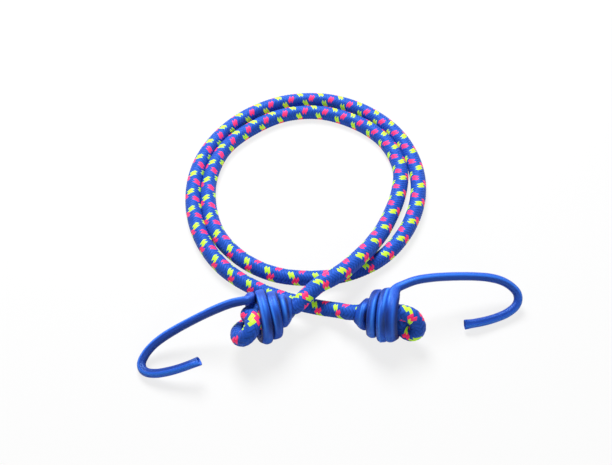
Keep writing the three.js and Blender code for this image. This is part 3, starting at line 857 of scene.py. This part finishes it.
def sleeve_mesh(side, shape, settings):
    """Sleeve of soft tube on a wire: squashed and creased in the winding, round on the hook"""
    line, coil_start, squash, hook_normal = hook_line(side, shape, settings)
    tip = shape["start_tip"]
    extra = np.arange(tip, 0, -LINE_SPACING)[:, None]
    line = np.vstack([line[0] - unit(line[1] - line[0]) * extra, line])
    squash = np.r_[np.ones(len(extra)), squash]
    coil_start += len(extra)
    coil_end = int(np.argmax(squash < 1))
    ways = directions(line)
    first = np.empty_like(line)
    for i in range(len(line)):
        carried = ALONG if i < coil_end else first[i - 1]
        first[i] = unit(carried - ways[i] * (carried @ ways[i]))
    second = np.cross(ways, first)

    length = distance_along(line)
    turn_share = np.clip((np.arange(len(line)) - coil_start) / (coil_end - coil_start), -0.05, 1)
    length, turn_share, squash = length[:, None], turn_share[:, None], squash[:, None]
    angles = np.linspace(0, 2 * np.pi, SLEEVE_SIDES, endpoint=False)
    seed = shape["crease_seed"]
    round_radius = settings.sleeve_diameter / 2 * (
        1 + WOBBLE_SHARE * slow_noise(length, WOBBLE_LENGTH, seed + WOBBLE_SEED))
    half_width = round_radius + (settings.band_width / 2 - round_radius) * squash
    half_height = round_radius - SQUASH_THINNING * squash
    power = 2 + SQUASH_BOXINESS * squash
    radius = ((np.abs(np.cos(angles)) / half_width) ** power
              + (np.abs(np.sin(angles)) / half_height) ** power) ** (-1 / power)

    # The free leg has a painted highlight band along its outer side, painted shade on its inner side
    # and a pressed groove along its inner side, and it wrinkles where it bends off the winding
    leg = smooth_step(1 - squash, 0.3, 1)
    outer_way = unit(np.cross(ways, hook_normal))
    outside = ((first * outer_way).sum(1)[:, None] * np.cos(angles)
               + (second * outer_way).sum(1)[:, None] * np.sin(angles))
    wander = MARK_WANDER * slow_noise(length, MARK_WANDER_LENGTH, seed + MARK_WANDER_SEED)
    # pressed is the painted shade on the inner side, stretched the painted highlight band on the
    # outer side
    pressed = leg * smooth_step(-outside, wander + PAINTED_SHADE_EDGE[0], wander + PAINTED_SHADE_EDGE[1])
    stretched = leg * np.exp(-((outside - PAINTED_HIGHLIGHT_PLACE - wander) / PAINTED_HIGHLIGHT_WIDTH) ** 2)
    groove = leg * np.exp(-((outside - GROOVE_PLACE - wander) / GROOVE_WIDTH) ** 2)
    radius = radius - GROOVE_DEPTH * groove
    leaving = np.exp(-((length - length[coil_end] - WRINKLE_REACH) / WRINKLE_REACH) ** 2)
    radius = radius - WRINKLE_DEPTH * leaving * np.sin(length / WRINKLE_LENGTH) ** 2

    across, inward, crease = pressed_section(
        radius * np.cos(angles), radius * np.sin(angles), length, squash, turn_share,
        shape, settings)
    thicken = np.maximum(1, (settings.sleeve_bore / 2 + THINNEST_WALL)
                         / np.hypot(across, inward))
    across = across * thicken
    inward = inward * thicken
    across = across + squash * (shape["spread_from"] * (1 - turn_share)
                                + shape["spread_to"] * turn_share)

    # Pinched flat past the wire's end at the start, cut off at the tip
    pinch = 1 - smooth_step(length, 0, tip + START_PINCH_LENGTH) if tip else 0 * length
    narrowing = START_PINCH_ACROSS * pinch
    across = across * (1 - narrowing) + shape["spread_from"] * narrowing
    inward = inward * (1 - START_PINCH_INWARD * pinch)
    outer = line[:, None] + first[:, None] * across[..., None] + second[:, None] * inward[..., None]
    to_end = length[-1] - length
    flat = shape["tip_pinch"] * (1 - smooth_step(to_end, 0, TIP_PINCH_LENGTH))
    slant = shape["tip_slant"] * np.exp(-to_end / TIP_SLANT_LENGTH)

    def cut_off(rings, rows):
        """Rings with the squeeze and the slant that the cutter gave the hook's tip"""
        rings = pinched(rings, line[rows], hook_normal, outer_way[rows], flat[rows])
        shift = ((rings - line[rows, None]) @ first[-1]) * slant[rows]
        return rings + shift[..., None] * ways[-1]

    outer = cut_off(outer, slice(None))
    few = np.r_[np.arange(0, len(line) - 1, OUTER_RINGS_PER_BORE_RING), len(line) - 1]
    bore = settings.sleeve_bore / 2 - THINNEST_WALL * squash[few]
    bore = bore * (1 - START_PINCH_BORE * pinch[few])
    inner = cut_off(rings_along(line[few], first[few], bore, angles), few)
    mesh = tube_mesh(f"{side}_hook_sleeve_tube", placed(outer, side), placed(inner, side),
                     length[:, 0] / (math.pi * settings.sleeve_diameter), np.zeros(len(line)))
    # Painted shade and highlight, held in the Crease attribute for the material: above zero a painted
    # highlight, below zero painted shade
    tone = np.zeros(len(mesh.vertices))
    leg_tone = PAINTED_HIGHLIGHT_TONE * stretched - shape["painted_shade_tone"] * pressed
    tone[:crease.size] = (crease + leg_tone).ravel()
    mesh.attributes.new("Crease", "FLOAT", "POINT").data.foreach_set("value", tone)
    return mesh


def soft_tube_material(settings):
    """Extruded soft PVC tube, pushed over the wire. It is glossy in a soft, waxy way, with
    faint draw lines along it and slow dents where fingers and pliers pressed it. It has painted
    shade in its creases, on the bands' edges and on the legs' inner sides, and a painted
    highlight on its folds' ridges and along the legs' outer sides."""
    material, tree = new_material("extruded_soft_pvc")
    place = add_node(tree, "SeparateXYZ", [add_node(tree, "UVMap", uv_map="Turn and Length")])
    draw_place = add_node(tree, "CombineXYZ", [place.outputs[0], place.outputs[1]])
    draw = add_node(tree, "TexNoise", {"Vector": draw_place, "Scale": 26.0, "Detail": 2.0},
                    noise_dimensions="2D")
    dents = add_node(tree, "TexNoise", {"Scale": 1 / (4 * MM), "Detail": 2.0})
    cloud = add_node(tree, "TexNoise", {"Scale": 1 / (11 * MM), "Detail": 3.0})
    height = add_node(tree, "Math", [draw, 0.18, dents], operation="MULTIPLY_ADD")
    bump = add_node(tree, "Bump", {"Strength": 0.35, "Distance": 0.35 * MM, "Height": height})
    base = linear(settings.sleeve_colour)
    deep = [0.72 * c for c in base[:3]] + [1.0]
    clouded = add_node(tree, "Mix", {0: cloud, 6: deep, 7: base}, data_type="RGBA")
    # Painted shade where the Crease attribute is below zero, and a painted highlight where it is
    # above zero
    crease = add_node(tree, "Attribute", attribute_name="Crease").outputs["Fac"]
    painted_valley_shade = add_node(tree, "MapRange", {"Value": crease, "From Min": 0.0, "From Max": -0.9,
                                         "To Min": 0.0, "To Max": 0.95})
    creased = add_node(
        tree, "Mix", {0: painted_valley_shade, 6: clouded.outputs[2], 7: linear(settings.crease_shade_colour)},
        data_type="RGBA")
    painted_ridge_highlight = add_node(tree, "MapRange", {"Value": crease, "From Min": 0.0, "From Max": 1.0,
                                        "To Min": 0.0, "To Max": 0.8})
    colour = add_node(
        tree, "Mix", {0: painted_ridge_highlight, 6: creased.outputs[2], 7: linear(settings.painted_highlight_colour)},
        data_type="RGBA")
    rough = add_node(tree, "MapRange", {"Value": dents, "To Min": 0.24, "To Max": 0.38})
    shader = add_node(tree, "BsdfPrincipled", {
        "Base Color": colour.outputs[2], "Roughness": rough, "IOR": 1.53,
        "Specular Tint": linear("#8cc0ff"), "Normal": bump})
    add_node(tree, "OutputMaterial", [shader])
    return material


def rod_mesh(name, line, diameter):
    """Solid round rod along a line"""
    curve = bpy.data.curves.new(name, "CURVE")
    curve.dimensions = "3D"
    curve.bevel_depth = diameter / 2
    curve.bevel_resolution = 4
    curve.use_fill_caps = True
    spline = curve.splines.new("POLY")
    spline.points.add(len(line) - 1)
    spline.points.foreach_set("co", np.c_[line, np.ones(len(line))].ravel())
    rod = bpy.data.objects.new(name, curve)
    mesh = bpy.data.meshes.new_from_object(rod)
    mesh.name = name
    bpy.data.objects.remove(rod)
    bpy.data.curves.remove(curve)
    return mesh


def drawn_wire_material(settings):
    """Drawn mild steel wire, bare under its sleeve: a dull metallic grey, finely grained"""
    material, tree = new_material("drawn_steel_wire")
    grain = add_node(tree, "TexNoise", {"Scale": 1 / (0.4 * MM), "Detail": 4.0})
    rough = add_node(tree, "MapRange", {"Value": grain, "To Min": 0.28, "To Max": 0.5})
    bump = add_node(tree, "Bump", {"Strength": 0.2, "Distance": 0.03 * MM, "Height": grain})
    shader = add_node(tree, "BsdfPrincipled", {
        "Base Color": linear(settings.wire_colour), "Metallic": 1.0, "Roughness": rough,
        "Normal": bump})
    add_node(tree, "OutputMaterial", [shader])
    return material


def cut_rubber_material():
    """Natural rubber cut into square threads: matt tan with a dusting of talc"""
    material, tree = new_material("cut_natural_rubber")
    dust = add_node(tree, "TexNoise", {"Scale": 1 / (1.5 * MM), "Detail": 4.0})
    colour = add_node(tree, "Mix", {0: dust, 6: linear("#c9b083"), 7: linear("#e6dcc6")},
                      data_type="RGBA")
    shader = add_node(tree, "BsdfPrincipled", {
        "Base Color": colour.outputs[2], "Roughness": 0.75, "IOR": 1.52})
    add_node(tree, "OutputMaterial", [shader])
    return material


# Camera, floor and lamps: a lamp has its name, place, size and share of the lamp power
CAMERA_TARGET = Vector((-14.1 * MM, 59.9 * MM, 4 * MM))
CAMERA_LENS = 50
LAMP_TARGET = Vector((-14 * MM, 60 * MM, 0))
LAMPS = (
    ("overhead", (-0.15, 0.6, 0.78), 0.5, 1.0),
    ("front", (0.25, -0.75, 0.5), 0.6, 0.15),
)
FLOOR_REACH = 4.0
FLOOR_GAP = 0.05 * MM


class BUNGEE_OT_camera(bpy.types.Operator):
    """Place the camera above and in front of the hooks"""

    bl_idname = "bungee.camera"
    bl_label = "Camera"

    def execute(self, context):
        settings = context.scene.bungee_stage
        camera = bpy.data.objects.new("camera", bpy.data.cameras.new("camera"))
        camera.data.lens = CAMERA_LENS
        camera.data.clip_start = 0.01
        back = Vector((0, -math.cos(settings.camera_pitch), math.sin(settings.camera_pitch)))
        camera.location = CAMERA_TARGET + back * settings.camera_distance
        camera.rotation_euler = (math.pi / 2 - settings.camera_pitch, 0, 0)
        context.scene.collection.objects.link(camera)
        context.scene.camera = camera
        return {"FINISHED"}


class BUNGEE_OT_free_cord(bpy.types.Operator):
    """Build the free stretch of braided cord, in two loops"""

    bl_idname = "bungee.free_cord"
    bl_label = "Free Cord"

    def execute(self, context):
        settings = context.scene.bungee_cord
        line = evenly_spaced(curve_through(ROUTE), RING_SPACING)
        length = distance_along(line)
        first = unit(UP - directions(line) * (directions(line) @ UP)[:, None])
        places, counts = np.array(LEADS_COUNTED).T
        places = places * MM
        leads = np.interp(length, places, counts)
        leads = leads + np.minimum(0, length - places[0]) / settings.braid_lead
        leads = leads + np.maximum(0, length - places[-1]) / settings.braid_lead
        leads = TRACER_LEAD + leads
        mouth_twist = MOUTH_TWIST_TURN * (1 - smooth_step(length, *MOUTH_TWIST_ENDS))
        twist = TRACER_TURN - mouth_twist
        places, shares, leans = np.array(SLACK).T
        places = places * MM
        swelling = settings.swelling * np.interp(length, places, shares)
        outwards = unit(np.cross(directions(line), first))
        line = line + outwards * np.interp(length, places, leans * MM)[:, None]
        mesh = sheath_mesh("cord_braided_sheath", line, first, leads, twist, settings, swelling)
        piece = add_piece(mesh, braided_yarn_material(settings), "cord", "cord_sheath")
        return {"FINISHED"}


class BUNGEE_OT_folded_ends(bpy.types.Operator):
    """Build the folded-back ends of the cord that the windings grip"""

    bl_idname = "bungee.folded_ends"
    bl_label = "Folded Ends"

    def execute(self, context):
        cord = context.scene.bungee_cord
        hooks = context.scene.bungee_hooks
        material = bpy.data.materials["braided_polypropylene_yarn"]
        for side, shape in HOOK_SHAPES.items():
            line = placed(evenly_spaced(fold_line(shape, hooks), FOLD_RING_SPACING), side)
            first = carried_normals(line, hook_axes(side)[1][2])
            length = distance_along(line)
            leads = shape["fold_lead_start"] + length / shape["fold_lead"]
            twist = shape["fold_turn"] + shape["fold_turns_per_length"] * length
            mesh = sheath_mesh(f"{side}_folded_end_braided_sheath", line, first, leads,
                               twist, cord, np.zeros(len(line)))
            add_piece(mesh, material, f"{side}_hook", f"{side}_folded_end_sheath")
        return {"FINISHED"}


class BUNGEE_OT_hook_sleeves(bpy.types.Operator):
    """Build the coated hooks with their windings"""

    bl_idname = "bungee.hook_sleeves"
    bl_label = "Hook Sleeves"

    def execute(self, context):
        settings = context.scene.bungee_hooks
        material = soft_tube_material(settings)
        for side, shape in HOOK_SHAPES.items():
            mesh = sleeve_mesh(side, shape, settings)
            add_piece(mesh, material, f"{side}_hook", f"{side}_hook_sleeve")
        return {"FINISHED"}


class BUNGEE_OT_hook_wires(bpy.types.Operator):
    """Build the steel wires inside the sleeves"""

    bl_idname = "bungee.hook_wires"
    bl_label = "Hook Wires"

    def execute(self, context):
        settings = context.scene.bungee_hooks
        material = drawn_wire_material(settings)
        for side, shape in HOOK_SHAPES.items():
            line = hook_line(side, shape, settings)[0]
            recessed = distance_along(line) < distance_along(line)[-1] - END_RECESS
            mesh = rod_mesh(f"{side}_hook_bent_wire", placed(line[recessed], side),
                            settings.wire_diameter)
            add_piece(mesh, material, f"{side}_hook", f"{side}_hook_wire")
        return {"FINISHED"}


class BUNGEE_OT_rubber_threads(bpy.types.Operator):
    """Finish the rubber threads inside the sheath"""

    bl_idname = "bungee.rubber_threads"
    bl_label = "Rubber Threads"

    def execute(self, context):
        material = cut_rubber_material()
        for name in frame["nodes"]:
            if "rubber_thread" in name:
                finish_node(name, material)
        return {"FINISHED"}


class BUNGEE_OT_stage(bpy.types.Operator):
    """Lay the pale floor and hang the soft lamps"""

    bl_idname = "bungee.stage"
    bl_label = "Stage"

    def execute(self, context):
        settings = context.scene.bungee_stage
        scene = context.scene
        scene.view_settings.view_transform = "Standard"
        mesh = bpy.data.meshes.new("floor")
        corners = ((-1, -1), (1, -1), (1, 1), (-1, 1))
        mesh.from_pydata([(x * FLOOR_REACH, y * FLOOR_REACH, 0) for x, y in corners], [],
                         [(0, 1, 2, 3)])
        floor = bpy.data.objects.new("floor", mesh)
        floor.location.z = -FLOOR_GAP
        mesh.materials.append(floor_material(settings))
        scene.collection.objects.link(floor)
        for name, place, size, share in LAMPS:
            lamp = bpy.data.lights.new(name, "AREA")
            lamp.shape = "DISK"
            lamp.size = size
            lamp.energy = share * settings.lamp_power
            lamp_object = bpy.data.objects.new(name, lamp)
            lamp_object.location = place
            aim = LAMP_TARGET - Vector(place)
            lamp_object.rotation_euler = aim.to_track_quat("-Z", "Y").to_euler()
            scene.collection.objects.link(lamp_object)
        light_world(scene)
        return {"FINISHED"}


def floor_material(settings):
    """Matt white paper sweep: it keeps the soft shadow, and shows almost white"""
    material, tree = new_material("white_paper")
    fibre = add_node(tree, "TexNoise", {"Scale": 1 / (2 * MM), "Detail": 3.0})
    bump = add_node(tree, "Bump", {"Strength": 0.05, "Distance": 0.05 * MM, "Height": fibre})
    paper = add_node(tree, "BsdfDiffuse", {"Color": linear(settings.floor_colour),
                                           "Normal": bump})
    glow = add_node(tree, "Emission", {"Strength": 1.0})
    seen = add_node(tree, "LightPath").outputs["Is Camera Ray"]
    share = add_node(tree, "Math", [seen, 0.8], operation="MULTIPLY")
    mix = add_node(tree, "MixShader", [share, paper, glow])
    add_node(tree, "OutputMaterial", [mix])
    return material


def light_world(scene):
    """Even pale light from all round, white where the camera or a reflection sees it"""
    world = bpy.data.worlds.new("soft_room")
    scene.world = world
    world.use_nodes = True
    tree = world.node_tree
    tree.nodes.clear()
    seen = add_node(tree, "LightPath").outputs
    white = add_node(tree, "Math", [seen["Is Glossy Ray"], seen["Is Transmission Ray"]],
                     operation="MAXIMUM")
    white = add_node(tree, "Math", [seen["Is Camera Ray"], white], operation="MAXIMUM")
    strength = add_node(tree, "MapRange", {"Value": white, "To Min": 0.08, "To Max": 1.0})
    background = add_node(tree, "Background", {"Color": (1, 1, 1, 1), "Strength": strength})
    add_node(tree, "OutputWorld", [background])


def finish_node(name, material):
    """Give a CAD solid its material"""
    node = frame["nodes"][name]
    node.data.materials.clear()
    node.data.materials.append(material)


class BUNGEE_PT_panel(bpy.types.Panel):
    """Sizes, colours and build steps of the bungee cord"""

    bl_idname = "BUNGEE_PT_panel"
    bl_label = "Bungee Cord"
    bl_space_type = "VIEW_3D"
    bl_region_type = "UI"
    bl_category = "Bungee Cord"

    def draw(self, context):
        for group in (context.scene.bungee_cord, context.scene.bungee_hooks,
                      context.scene.bungee_stage):
            column = self.layout.column(align=True)
            for name in group.__annotations__:
                column.prop(group, name)
        for operator in OPERATORS:
            self.layout.operator(operator.bl_idname)


OPERATORS = (
    BUNGEE_OT_camera,
    BUNGEE_OT_free_cord,
    BUNGEE_OT_folded_ends,
    BUNGEE_OT_hook_sleeves,
    BUNGEE_OT_hook_wires,
    BUNGEE_OT_rubber_threads,
    BUNGEE_OT_stage,
)
CLASSES = (CordSettings, HookSettings, StageSettings, *OPERATORS, BUNGEE_PT_panel)


def register():
    """Register the classes and hang the settings on the scene"""
    for cls in CLASSES:
        bpy.utils.register_class(cls)
    bpy.types.Scene.bungee_cord = bpy.props.PointerProperty(type=CordSettings)
    bpy.types.Scene.bungee_hooks = bpy.props.PointerProperty(type=HookSettings)
    bpy.types.Scene.bungee_stage = bpy.props.PointerProperty(type=StageSettings)


def unregister():
    """Take the settings and classes away again"""
    del bpy.types.Scene.bungee_stage
    del bpy.types.Scene.bungee_hooks
    del bpy.types.Scene.bungee_cord
    for cls in reversed(CLASSES):
        bpy.utils.unregister_class(cls)


def main():
    """Build the whole bungee cord"""
    register()
    bpy.ops.bungee.camera()
    bpy.ops.bungee.free_cord()
    bpy.ops.bungee.folded_ends()
    bpy.ops.bungee.hook_sleeves()
    bpy.ops.bungee.hook_wires()
    bpy.ops.bungee.rubber_threads()
    bpy.ops.bungee.stage()


if __name__ == "__main__":
    main()
